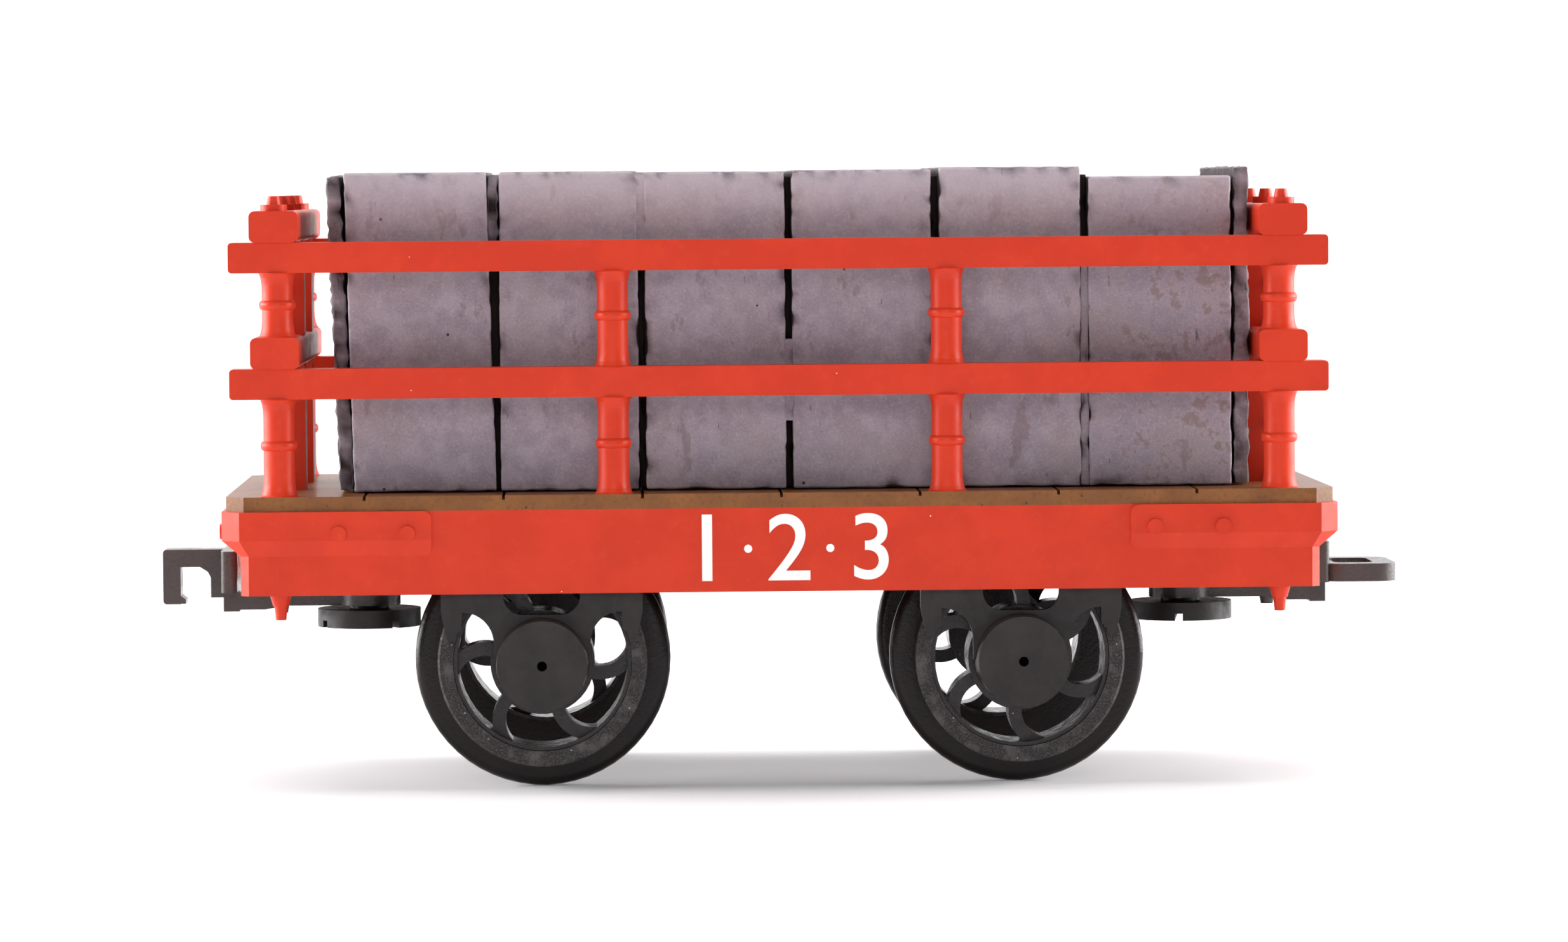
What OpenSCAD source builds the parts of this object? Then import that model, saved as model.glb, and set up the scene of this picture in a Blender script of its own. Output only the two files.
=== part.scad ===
// Narrow-gauge four-wheel slate wagon for a 9 mm gauge model railway, with its loose slate load.
// Millimetres. +X runs along the wagon towards the loop coupling, +Z is up, and the origin is under
// the wagon's centre at the height that the wheel flanges stand on.

/* [Deck] */
// Length of the planked deck over its ends
deck_l = 30; // [25:0.5:38]
// Thickness of the deck
deck_t = 0.4; // [0.3:0.05:0.8]
// Cut-off at each corner of the deck and of the raised band under it
corner_cut = 0.5; // [0.2:0.05:1]
// Number of transverse planks
plank_count = 8; // [4:1:12]
// Width of the open joint between two planks
plank_gap = 0.08; // [0.05:0.01:0.2]
// Depth of that joint
plank_gap_depth = 0.12; // [0.05:0.01:0.2]

/* [Frame] */
// Height of a solebar
solebar_h = 2.27; // [1.5:0.05:3]
// Thickness of a solebar
solebar_t = 0.35; // [0.3:0.05:0.8]
// Thickness of the lower part of a headstock
headstock_t = 0.55; // [0.4:0.05:1]
// Inset of the lower part of a headstock from the deck's end
headstock_inset = 0.4; // [0.3:0.05:0.8]
// Cut-off at each corner of the frame's lower part
frame_cut = 0.22; // [0.1:0.01:0.5]
// Height of the raised corner plates and the headstock beam
corner_plate_h = 1.2; // [0.9:0.05:1.5]
// Height of the sloping underside that blends them into the frame
plate_slope_h = 0.42; // [0.2:0.05:0.6]
// Length of a raised corner plate along the solebar, from the deck's end
corner_plate_l = 5.55; // [4:0.05:7]
// How far the corner plates and the headstock beam stand proud
corner_plate_proud = 0.12; // [0.08:0.01:0.2]
// Radius of the moulded bolt heads on the frame
frame_bolt_r = 0.21; // [0.1:0.01:0.3]
// Clearance between pieces that are cemented or pushed together
fit_gap = 0.02; // [0.01:0.005:0.05]

/* [Fence] */
// Radius of a turned stake
stake_r = 0.42; // [0.3:0.01:0.5]
// How far a stake's foot spreads beyond its shaft
stake_flare = 0.12; // [0.03:0.01:0.15]
// Height of a flared foot or neck
flare_h = 0.5; // [0.2:0.05:0.6]
// How far the turned ring stands out from the shaft
ring_proud = 0.08; // [0.04:0.01:0.15]
// Height of the turned ring
ring_h = 0.26; // [0.12:0.01:0.4]
// Distance from the deck's end to the corner stakes
stake_inset = 1.45; // [1:0.05:2]
// Radius of the peg under a stake
peg_r = 0.3; // [0.2:0.01:0.35]
// Height from the deck to the lower side rail
lower_rail_rise = 2.63; // [2:0.05:4]
// Clear height between the two side rails
rail_clear_h = 2.59; // [2:0.05:4]
// Height of a side rail
rail_h = 0.82; // [0.5:0.02:1.1]
// Thickness of a side rail
rail_t = 0.9; // [0.6:0.05:1.1]
// Inset of a side rail's end from the deck's end
rail_end_inset = 0.15; // [0.05:0.05:0.3]
// Height of a cross rail at the wagon's end
end_rail_h = 0.85; // [0.5:0.05:1.2]
// Width of a cross rail along the wagon
end_rail_w = 1.31; // [1.15:0.02:1.5]
// How far a cross rail lies outwards of the stakes' centres
end_rail_out = 0.07; // [0:0.01:0.1]
// Corner radius of a cross rail
end_rail_round = 0.16; // [0.05:0.01:0.2]
// Corner radius at the ends of a side rail
rail_round = 0.1; // [0.05:0.01:0.2]
// Distance from the wagon's centre line to each end stake
end_stake_y = 2.1; // [1.5:0.05:3]
// Depth of an end stake from its centre to its flat inner face
end_stake_d = 0.55; // [0.42:0.01:0.6]
// Radius of an end rail bolt's stem
bolt_stem_r = 0.15; // [0.1:0.01:0.2]
// Length of the stem below the cross rail
bolt_stem_grip = 0.5; // [0.3:0.05:1]
// Radius of a bolt's washer
washer_r = 0.36; // [0.25:0.01:0.45]
// Thickness of a bolt's washer
washer_h = 0.17; // [0.1:0.01:0.25]
// Height of a bolt's nut
nut_h = 0.24; // [0.15:0.01:0.35]
// How far the corner stakes' thick tails show under the solebar
tail_drop = 0.31; // [0.2:0.01:0.5]
// Length of the thin tip below that
tail_tip = 0.37; // [0.2:0.01:0.5]

/* [Wheels] */
// Distance between the inner faces of a pair of wheels
back_to_back = 7.4; // [7.2:0.05:9]
// Distance between the two axles
wheelbase = 13; // [11:0.1:16]
// Diameter over the flange
flange_d = 7; // [6:0.1:8.5]
// Diameter of the tread
tread_d = 5.7; // [4.9:0.1:7]
// Width of a wheel
wheel_w = 1.85; // [1.5:0.05:2.2]
// Thickness of the flange
flange_t = 0.5; // [0.3:0.05:0.7]
// Radial thickness of the metal tyre under its tread
tyre_t = 0.42; // [0.3:0.01:0.6]
// Radial thickness of the centre's own rim
rim_t = 0.1; // [0.1:0.01:0.3]
// Radius of a wheel's hub
hub_r = 1.42; // [1:0.01:1.45]
// Number of curved spokes
spoke_count = 6; // [4:1:8]
// Width of a spoke
spoke_w = 0.36; // [0.2:0.01:0.4]
// Radius that a spoke curves to
spoke_bend_r = 0.92; // [0.7:0.01:1.2]
// Angle from a spoke's inner end to its outer end
spoke_sweep = 14; // [5:1:20]
// Angles that the left wheelset's front and rear wheels stand at
spoke_phase_left = [47, 35]; // [0:1:59]
// Angles that the right wheelset's front and rear wheels stand at
spoke_phase_right = [25, 34]; // [0:1:59]
// Radius of an axle
axle_r = 0.6; // [0.4:0.01:0.75]
// Length of an axle's conical point
point_l = 1; // [0.7:0.05:1.2]
// Radius of the blunt tip of that point
point_tip_r = 0.05; // [0.02:0.01:0.1]
// Radial running clearance of the pinpoints and of the coupling pivots
running_gap = 0.05; // [0.02:0.01:0.1]

/* [Underframe] */
// Thickness of an axle guard
guard_t = 0.35; // [0.25:0.05:0.6]
// Gap between a wheel's outer face and the axle guard
guard_gap = 0.15; // [0.1:0.05:0.4]
// Width of an axle guard over its legs
guard_w = 5.46; // [4.8:0.02:6]
// Width of each outer leg at its top
guard_leg_w = 0.57; // [0.5:0.01:0.8]
// Length of each outer leg below the bar
guard_leg_l = 0.77; // [0.4:0.01:1]
// Height of the guard's bar that shows under the solebar
guard_bar_h = 0.52; // [0.4:0.02:0.8]
// Width of the cut-out in the middle of the bar
guard_cut_w = 2.08; // [1.5:0.02:2.3]
// Depth of that cut-out below the solebar
guard_cut_h = 0.6; // [0.4:0.02:0.62]
// Radius of an axlebox cover
axlebox_r = 1.27; // [1.1:0.01:1.3]
// Radius of the small hole in the middle of an axlebox cover
axlebox_hole_r = 0.14; // [0.08:0.01:0.2]
// Depth of that hole
axlebox_hole_depth = 0.06; // [0.03:0.01:0.08]
// How far the axlebox cover stands out from the guard
axlebox_proud = 0.9; // [0.5:0.05:1.2]
// Radius of a bearing cup
bearing_r = 0.8; // [0.7:0.01:0.9]
// Length of a bearing cup
bearing_l = 1.1; // [1:0.05:1.15]
// Thickness of the underframe's plate
floor_t = 0.35; // [0.25:0.05:0.6]
// Gap between the top of a flange and the ballast weight
wheel_headroom = 0.2; // [0.15:0.05:0.5]
// Clearance around a flange in its slot
slot_gap = 0.25; // [0.2:0.05:0.5]
// Thickness of the ballast weight
weight_t = 0.5; // [0.3:0.05:1]
// Width of the ballast weight
weight_w = 8; // [6:0.5:10]
// Inset of the underframe's plate from the deck's end
floor_inset = 2; // [1.9:0.05:3]

/* [Couplings] */
// Distance from the deck's end to a coupling's pivot
pivot_inset = 3.6; // [3:0.05:5]
// Radius of the pivot post
pivot_r = 0.55; // [0.45:0.01:0.6]
// Radius of the eye around the post
eye_r = 0.88; // [0.8:0.01:1.2]
// Thickness of the eye and the shank
shank_t = 0.35; // [0.3:0.01:0.6]
// Width of the shank
shank_w = 0.9; // [0.6:0.05:1.3]
// Gap between the shank's top and the solebar's lower edge
shank_drop = 0.33; // [0.25:0.01:0.5]
// Radius of the slotted cap under the pivot
cap_r = 1.44; // [1.2:0.01:1.6]
// Thickness of that cap
cap_t = 0.5; // [0.4:0.01:0.6]
// Vertical play of a coupling between its collar and its cap
cap_play = 0.1; // [0.05:0.01:0.2]
// Radius of the cap's pin
cap_pin_r = 0.32; // [0.2:0.01:0.4]
// Length of the cap's pin
cap_pin_l = 1.2; // [0.8:0.05:1.6]
// Width of the cross slot
cap_slot_w = 0.22; // [0.15:0.01:0.3]
// Depth of the cross slot
cap_slot_depth = 0.2; // [0.1:0.01:0.25]
// Width of a coupling's head plate
head_w = 3.2; // [2.4:0.1:3.6]
// Height of a coupling's head plate
head_h = 1.15; // [0.9:0.01:1.15]
// Thickness of a coupling's head plate
head_t = 0.45; // [0.3:0.01:0.6]
// Reach of the hook beyond its head plate
hook_reach = 1.68; // [1.4:0.02:2]
// Thickness of the hook across the wagon
hook_w = 0.9; // [0.6:0.05:1.2]
// Height of the hook
hook_h = 1.53; // [1.3:0.01:1.7]
// Width of the hook's bars
hook_bar = 0.49; // [0.35:0.01:0.5]
// Reach of the loop beyond its head plate
loop_reach = 1.9; // [1.7:0.05:2.3]
// Thickness of the loop
loop_t = 0.5; // [0.35:0.01:0.6]
// Width of the loop's bars
loop_bar = 0.6; // [0.4:0.01:0.7]

/* [Load] */
// Distance from the deck's end to the load, on average
load_inset = 2.45; // [2.3:0.05:4]
// How far the load lies off the wagon's centre, along the wagon
load_shift = 0.3; // [0:0.01:0.3]
// Gap between the load's faces and the stakes' feet
load_side_gap = 0.5; // [0.3:0.05:1]
// Height of the load
load_h = 8.8; // [6:0.1:12]
// Number of slate columns along the load
load_columns = 6; // [3:1:8]
// Width of the dark joint between two columns
load_joint = 0.24; // [0.1:0.01:0.4]
// Depth of that joint
load_joint_depth = 0.35; // [0.2:0.01:0.6]
// Thickness of the slab at each end of the load
load_slab_t = 0.5; // [0.3:0.05:0.8]

/* [Hidden] */
$fn = 64;
eps = 0.01;

red = [0.84, 0.25, 0.18];
timber = [0.55, 0.36, 0.2];
black = [0.13, 0.12, 0.12];
steel = [0.55, 0.55, 0.57];
brass = [0.75, 0.6, 0.3];
slate = [0.42, 0.38, 0.41];

// Across the wagon, from the wheels outwards
wheel_in_y = back_to_back / 2;
wheel_out_y = wheel_in_y + wheel_w;
guard_in_y = wheel_out_y + guard_gap;
guard_out_y = guard_in_y + guard_t;
solebar_in_y = guard_out_y + fit_gap;
frame_half_w = solebar_in_y + solebar_t;
deck_w = 2 * frame_half_w;
axlebox_face_y = guard_out_y + axlebox_proud;
stake_y = frame_half_w - stake_r - stake_flare;

// Heights, from the wheels upwards
axle_z = flange_d / 2;
weight_z = flange_d + wheel_headroom;
floor_z = weight_z - floor_t;
deck_z = weight_z + weight_t;
deck_top = deck_z + deck_t;
solebar_z = deck_z - solebar_h;
plate_z = deck_z - corner_plate_h;
lower_rail_z = deck_top + lower_rail_rise;
lower_rail_top = lower_rail_z + rail_h;
top_rail_z = lower_rail_top + rail_clear_h;
top_rail_top = top_rail_z + rail_h;
lower_ring_z = deck_top + lower_rail_rise * 0.52;
upper_ring_z = lower_rail_top + rail_clear_h * 0.53;
end_rail_top = top_rail_top + end_rail_h;
lower_end_rail_top = lower_rail_top + end_rail_h;
corner_ring_z = lower_end_rail_top + (top_rail_z - lower_end_rail_top) * 0.5;
end_upper_ring_z = lower_end_rail_top + (top_rail_top - lower_end_rail_top) * 0.46;
end_lower_ring_z = deck_top + (lower_rail_top - deck_top) * 0.47;

// Along the wagon
deck_end = deck_l / 2;
stake_x = deck_end - stake_inset;
stake_pitch = 2 * stake_x / 3;
plank_pitch = deck_l / plank_count;
headstock_x = deck_end - headstock_inset;
beam_x = deck_end + corner_plate_proud;
plate_x = deck_end - corner_plate_l;
floor_end = deck_end - floor_inset;
axle_x = wheelbase / 2;
pivot_x = deck_end - pivot_inset;

// Frame details
plate_round = 0.22;
frame_bolt_x = [plate_x + 0.65, plate_x + 2.5];
frame_bolt_z = plate_z + corner_plate_h / 2;
beam_bolt_y = frame_half_w - 1.6;
tail_wall = 0.3;
tail_end_r = 0.7 * peg_r;
tail_tip_r = 0.6 * peg_r;
weight_inset = 1;
nut_r = bolt_stem_r + 0.05;
end_stake_w = 2 * stake_r;

// Running gear
tread_r = tread_d / 2;
tyre_in_r = tread_r - tyre_t;
centre_out_r = tyre_in_r - eps;
rim_in_r = centre_out_r - rim_t;
centre_w = wheel_w - 0.1;
spoke_set_in = 0.35;
edge_cut = 0.06;
axle_half = guard_in_y + bearing_l - 2 * running_gap - 0.08;
cone_start_y = axle_half - point_l;

// Axle guard
guard_mid = axlebox_r + 0.04;

// Couplings
shank_top = solebar_z - shank_drop;
shank_z = shank_top - shank_t;
cap_top = shank_z - cap_play;
cap_z = cap_top - cap_t;
pad_z = solebar_z - 0.1;
pad_back = 1.5;
pad_half_w = 1.8;
collar_r = eye_r;
cap_turn_left = 33;
cap_turn_right = -7;
head_x = deck_end - pivot_x;
head_z = plate_z - 0.15 - head_h;
hook_root = 0.35;
hook_root_h = 1.35;
barb_l = 0.14;
barb_h = 0.25;
heel_drop = 0.15;
nub_r = 0.22;
nub_drop = 0.22;
nub_x = head_x - 1.15;
shank_root_l = 1.4;
shank_root_drop = 0.1;
loop_round = 0.6;

// Load: how far one column's top stands below another's
load_step = 0.1;

// A rectangle with its four corners cut off
module cut_plan(l, w, cut)
    polygon([
        [-l / 2 + cut, -w / 2], [l / 2 - cut, -w / 2], [l / 2, -w / 2 + cut], [l / 2, w / 2 - cut],
        [l / 2 - cut, w / 2], [-l / 2 + cut, w / 2], [-l / 2, w / 2 - cut], [-l / 2, -w / 2 + cut]
    ]);

// A rectangle with rounded corners, centred
module round_rect(l, w, r) {
    square([l - 2 * r, w], center = true);
    square([l, w - 2 * r], center = true);
    for (x = [-1, 1], y = [-1, 1])
        translate([x * (l / 2 - r), y * (w / 2 - r)]) circle(r);
}

// A flat ring
module ring(outer, inner)
    difference() {
        circle(outer);
        circle(inner);
    }

// Turns a flat outline in X and Z into a plate that starts at y and grows towards the front
module stand(y, t)
    translate([0, y, 0]) rotate([90, 0, 0]) linear_extrude(t) children();

// Turns a profile drawn as radius and distance from the centre line about an axle
module on_axle(x)
    translate([x, 0, axle_z]) rotate([90, 0, 0]) rotate_extrude() children();

// --- Deck and frame ---

module plank_deck()
    color(timber) difference() {
        translate([0, 0, deck_z]) linear_extrude(deck_t) cut_plan(deck_l, deck_w, corner_cut);
        for (i = [1 : plank_count - 1])
            translate([-deck_end + i * plank_pitch, 0, deck_top])
                cube([plank_gap, deck_w + 2, 2 * plank_gap_depth], center = true);
        for (x = stake_places(), side = [-1, 1])
            translate([x, side * stake_y, deck_z - 1]) cylinder(r = peg_r + fit_gap, h = deck_t + 2);
        for (x = [-stake_x, stake_x], side = [-1, 1])
            translate([x, side * end_stake_y, deck_z - 1]) cylinder(r = peg_r + fit_gap, h = deck_t + 2);
    }

// The raised band of the corner plates and headstock beams, with its sloping underside
module raised_band()
    hull() {
        translate([0, 0, plate_z + plate_slope_h]) linear_extrude(corner_plate_h - plate_slope_h)
            cut_plan(2 * beam_x, deck_w + 2 * corner_plate_proud, corner_cut);
        translate([0, 0, plate_z]) linear_extrude(eps) cut_plan(2 * headstock_x, deck_w, frame_cut);
    }

// The two ends of that band: each wraps two corners of the frame and the beam between them
module corner_plates()
    intersection() {
        raised_band();
        for (side = [-1, 1])
            stand(deck_w, 2 * deck_w)
                translate([side * (plate_x + corner_plate_l), plate_z + corner_plate_h / 2])
                    round_rect(2 * corner_plate_l, corner_plate_h, plate_round);
    }

module frame_bolt()
    rotate([90, 0, 0]) cylinder(r = frame_bolt_r, h = 2 * corner_plate_proud, center = true);

module body_frame()
    color(red) {
        difference() {
            union() {
                translate([0, 0, solebar_z]) linear_extrude(solebar_h)
                    cut_plan(2 * headstock_x, deck_w, frame_cut);
                corner_plates();
            }
            frame_hollow();
            for (x = [-stake_x, stake_x], side = [-1, 1])
                translate([x, side * stake_y, solebar_z - 1])
                    cylinder(r = peg_r + fit_gap, h = solebar_h + 2);
        }
        for (x = frame_bolt_x, end = [-1, 1], side = [-1, 1])
            translate([end * x, side * (frame_half_w + corner_plate_proud), frame_bolt_z]) frame_bolt();
        for (end = [-1, 1], side = [-1, 1])
            translate([end * beam_x, side * beam_bolt_y, frame_bolt_z]) rotate([0, 0, 90]) frame_bolt();
    }

// The space inside the frame, with a solid block left at each corner for the stakes' tails
module frame_hollow()
    translate([0, 0, solebar_z - 1]) linear_extrude(solebar_h + 2) {
        square([2 * (floor_end + 0.1), 2 * solebar_in_y], center = true);
        square([2 * (headstock_x - headstock_t), 2 * (stake_y - peg_r - tail_wall)], center = true);
    }

module ballast_weight()
    color(steel) translate([0, 0, weight_z]) linear_extrude(weight_t)
        cut_plan(2 * (floor_end - weight_inset), weight_w, corner_cut);

// --- Fence ---

function stake_places() = [for (i = [0 : 3]) -stake_x + i * stake_pitch];

// Radius points of a flared foot that rises from z, or of a neck when up is -1
function flare_points(z, up) =
    [for (a = [0 : 22.5 : 90]) [stake_r + stake_flare * (1 - sin(a)), z + up * flare_h * (1 - cos(a))]];

// One length of turned stake from z0 to z1, with a foot, a neck and a ring at ring_z
module stake_length(z0, z1, ring_z)
    rotate_extrude() polygon(concat(
        [[0, z0]],
        flare_points(z0, 1),
        [for (a = [-90 : 30 : 90]) [stake_r + ring_proud * cos(a), ring_z + ring_h / 2 * sin(a)]],
        [for (i = [4 : -1 : 0]) flare_points(z1, -1)[i]],
        [[0, z1]]
    ));

// The tail of a corner stake, which runs down through the deck and the frame
module stake_tail()
    translate([0, 0, solebar_z]) {
        cylinder(r = peg_r, h = deck_top - solebar_z + eps);
        translate([0, 0, -tail_drop]) cylinder(r1 = tail_end_r, r2 = peg_r, h = tail_drop);
        translate([0, 0, -tail_drop - tail_tip])
            cylinder(r1 = tail_tip_r * 0.8, r2 = tail_tip_r, h = tail_tip + eps);
    }

module side_rail(z)
    stand(stake_y + rail_t / 2, rail_t)
        translate([0, z + rail_h / 2]) round_rect(deck_l - 2 * rail_end_inset, rail_h, rail_round);

module side_fence()
    color(red) difference() {
        union() {
            side_rail(lower_rail_z);
            side_rail(top_rail_z);
            for (x = stake_places()) translate([x, stake_y, 0]) {
                stake_length(deck_top, lower_rail_z + eps, lower_ring_z);
                translate([0, 0, deck_z]) cylinder(r = peg_r, h = deck_t + eps);
            }
            for (x = [-stake_pitch / 2, stake_pitch / 2]) translate([x, stake_y, 0])
                stake_length(lower_rail_top - eps, top_rail_z + eps, upper_ring_z);
            for (x = [-stake_x, stake_x]) translate([x, stake_y, 0]) {
                translate([0, 0, lower_rail_top - eps]) cylinder(r = stake_r, h = end_rail_h + 2 * eps);
                stake_length(lower_end_rail_top, top_rail_z + eps, corner_ring_z);
                stake_tail();
            }
        }
        for (end = [-1, 1]) translate([end * (stake_x + end_rail_out), stake_y, top_rail_top]) bolt_hole();
    }

module side_fence_front() mirror([0, 1, 0]) side_fence();
module side_fence_rear() side_fence();

// A hole that takes a bolt's stem, from a little above z = 0 downwards
module bolt_hole()
    translate([0, 0, -bolt_stem_grip - 0.1]) cylinder(r = bolt_stem_r + fit_gap, h = bolt_stem_grip + 0.2);

function bolt_places() = [-stake_y, -end_stake_y, end_stake_y, stake_y];

module cross_rail(z)
    stand(frame_half_w, deck_w)
        translate([end_rail_out, z + end_rail_h / 2]) round_rect(end_rail_w, end_rail_h, end_rail_round);

// One length of end stake: turned on the outside, with a flat board face towards the load
module end_stake_length(z0, z1, ring_z) {
    difference() {
        stake_length(z0, z1, ring_z);
        translate([-end_stake_d, -end_stake_d, z0 - 1]) cube([end_stake_d, 2 * end_stake_d, z1 - z0 + 2]);
    }
    translate([-end_stake_d, -end_stake_w / 2, z0]) cube([end_stake_d + eps, end_stake_w, z1 - z0]);
}

// The fence across one end, about the stakes' centres, with its outside towards +X
module end_fence()
    color(red) difference() {
        union() {
            cross_rail(lower_rail_top);
            cross_rail(top_rail_top);
            for (y = [-end_stake_y, end_stake_y]) translate([0, y, 0]) {
                end_stake_length(deck_top, lower_rail_top + eps, end_lower_ring_z);
                end_stake_length(lower_end_rail_top - eps, top_rail_top + eps, end_upper_ring_z);
                translate([0, 0, deck_z]) cylinder(r = peg_r, h = deck_t + eps);
            }
        }
        for (y = [-stake_y, stake_y])
            translate([0, y, lower_rail_top - 1]) cylinder(r = stake_r + fit_gap, h = end_rail_h + 1 + eps);
        for (y = bolt_places()) translate([end_rail_out, y, top_rail_top]) bolt_hole();
        for (y = bolt_places())
            translate([end_rail_out, y, top_rail_top - eps])
                cylinder(r = bolt_stem_r + fit_gap, h = end_rail_h + 1);
    }

module end_fence_left() mirror([1, 0, 0]) end_fence_right();
module end_fence_right() translate([stake_x, 0, 0]) end_fence();

module end_rail_bolts()
    color(red) for (y = bolt_places()) translate([0, y, end_rail_top]) {
        cylinder(r = washer_r, h = washer_h);
        translate([0, 0, washer_h - eps]) cylinder(r1 = nut_r, r2 = nut_r - 0.05, h = nut_h);
        translate([0, 0, -end_rail_h - bolt_stem_grip])
            cylinder(r = bolt_stem_r, h = end_rail_h + bolt_stem_grip + eps);
    }

module end_rail_bolts_left() translate([-stake_x - end_rail_out, 0, 0]) end_rail_bolts();
module end_rail_bolts_right() translate([stake_x + end_rail_out, 0, 0]) end_rail_bolts();

// --- Underframe ---

// The block that hangs down to carry a coupling, and its pivot post
module coupling_pad()
    translate([pivot_x, 0, 0]) {
        translate([-pad_back, -pad_half_w, pad_z])
            cube([floor_end - pivot_x + pad_back, 2 * pad_half_w, floor_z - pad_z + eps]);
        translate([0, 0, shank_top + running_gap]) cylinder(r = collar_r, h = pad_z - shank_top);
        translate([0, 0, cap_top]) cylinder(r = pivot_r, h = pad_z - cap_top + eps);
    }

module underframe()
    color(black) difference() {
        union() {
            translate([0, 0, floor_z]) linear_extrude(floor_t)
                square([2 * floor_end, 2 * guard_out_y], center = true);
            for (turn = [0, 180]) rotate([0, 0, turn]) coupling_pad();
        }
        for (x = [-axle_x, axle_x], side = [-1, 1]) translate([x, side * (wheel_in_y + guard_in_y) / 2, 0])
            linear_extrude(weight_z + 1)
                square([wheel_slot_l(), guard_in_y - wheel_in_y + slot_gap], center = true);
        for (end = [-1, 1]) translate([end * pivot_x, 0, cap_top - 1])
            cylinder(r = cap_pin_r + fit_gap, h = cap_pin_l + 1 + 0.1);
    }

// Length of the slot that a flange turns in
function wheel_slot_l() = 2 * (sqrt(pow(axle_z + slot_gap, 2) - pow(floor_z - axle_z, 2)) + slot_gap);

// Outline of an axle guard about its own axle, at its real height
module guard_outline() {
    bar_z = solebar_z - guard_bar_h;
    arch_x = guard_w / 2 - guard_leg_w;
    arch_r = arch_x - guard_mid;
    difference() {
        union() {
            translate([-guard_w / 2, bar_z]) square([guard_w, floor_z - bar_z]);
            translate([-arch_x, bar_z - arch_r]) square([2 * arch_x, arch_r + eps]);
            translate([-guard_mid, axle_z]) square([2 * guard_mid, bar_z - axle_z]);
        }
        for (side = [-1, 1]) translate([side * arch_x, bar_z - arch_r]) circle(arch_r);
        translate([0, solebar_z - guard_cut_h + 5]) round_rect(guard_cut_w, 10, 0.5);
    }
    translate([0, bar_z]) {
        guard_leg();
        mirror([1, 0]) guard_leg();
    }
}

// A leg under the bar's end: it narrows downwards and its inner edge steps back
module guard_leg() {
    inner_x = guard_w / 2 - guard_leg_w;
    polygon([
        [inner_x, eps], [guard_w / 2, eps], [guard_w / 2 - 0.06, -guard_leg_l * 0.4],
        [guard_w / 2 - 0.18, -guard_leg_l], [inner_x + 0.2, -guard_leg_l],
        [inner_x + 0.16, -guard_leg_l * 0.75], [inner_x + 0.02, -guard_leg_l * 0.6]
    ]);
}

// An axle guard with its axlebox, at the front
module w_iron(x)
    color(black) translate([x, 0, 0]) difference() {
        union() {
            stand(-guard_in_y, guard_t) guard_outline();
            translate([0, -guard_in_y, axle_z]) rotate([90, 0, 0])
                cylinder(r1 = axlebox_r, r2 = axlebox_r - 0.05, h = guard_t + axlebox_proud);
        }
        translate([0, -guard_in_y + 1, axle_z]) rotate([90, 0, 0])
            cylinder(r = bearing_r + fit_gap, h = bearing_l + 1);
        translate([0, -axlebox_face_y + axlebox_hole_depth, axle_z]) rotate([90, 0, 0])
            cylinder(r = axlebox_hole_r, h = 1);
    }

module w_iron_front_left() w_iron(-axle_x);
module w_iron_front_right() w_iron(axle_x);
module w_iron_rear_left() mirror([0, 1, 0]) w_iron(-axle_x);
module w_iron_rear_right() mirror([0, 1, 0]) w_iron(axle_x);

// Radius of an axle's point at a distance y from the wagon's centre line
function point_r(y) = axle_r - (axle_r - point_tip_r) * (y - cone_start_y) / point_l;

// A pair of brass cups, one in each axlebox of an axle
module bearings(x)
    color(brass) for (side = [0, 180]) translate([x, 0, axle_z]) rotate([90, 0, 0]) rotate([side, 0, 0])
        rotate_extrude() polygon([
            [point_r(guard_in_y) + running_gap, guard_in_y],
            [bearing_r, guard_in_y],
            [bearing_r, guard_in_y + bearing_l],
            [0, guard_in_y + bearing_l],
            [0, axle_half + running_gap],
            [point_tip_r + running_gap, axle_half + running_gap]
        ]);

module bearings_left() bearings(-axle_x);
module bearings_right() bearings(axle_x);

// --- Wheelsets ---

module axle(x)
    color(steel) on_axle(x) polygon([
        [0, -axle_half], [point_tip_r, -axle_half], [axle_r, -cone_start_y],
        [axle_r, cone_start_y], [point_tip_r, axle_half], [0, axle_half]
    ]);

// One curved spoke: an arc from the hub on the X axis to the rim, spoke_sweep degrees further round
module spoke() {
    inner = [hub_r, 0];
    outer = rim_in_r * [cos(spoke_sweep), sin(spoke_sweep)];
    chord = norm(outer - inner);
    lean = atan2(outer[1] - inner[1], outer[0] - inner[0]);
    intersection() {
        translate((inner + outer) / 2) rotate(lean)
            translate([0, sqrt(pow(spoke_bend_r, 2) - pow(chord / 2, 2))]) intersection() {
                ring(spoke_bend_r + spoke_w / 2, spoke_bend_r - spoke_w / 2);
                translate([-5, -10 - spoke_bend_r / 2]) square(10);
            }
        ring(centre_out_r - eps, hub_r - 0.1);
    }
}

// The black middle of a front wheel, from its back face outwards
module wheel_centre(x, phase)
    color(black) translate([x, -wheel_in_y, axle_z]) rotate([90, 0, 0]) difference() {
        union() {
            linear_extrude(centre_w) ring(centre_out_r, rim_in_r);
            translate([0, 0, spoke_set_in]) linear_extrude(centre_w - 2 * spoke_set_in)
                for (i = [0 : spoke_count - 1]) rotate(phase + i * 360 / spoke_count) spoke();
            cylinder(r = hub_r, h = centre_w);
        }
        translate([0, 0, -1]) cylinder(r = axle_r + eps, h = wheel_w + 2);
    }

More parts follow.
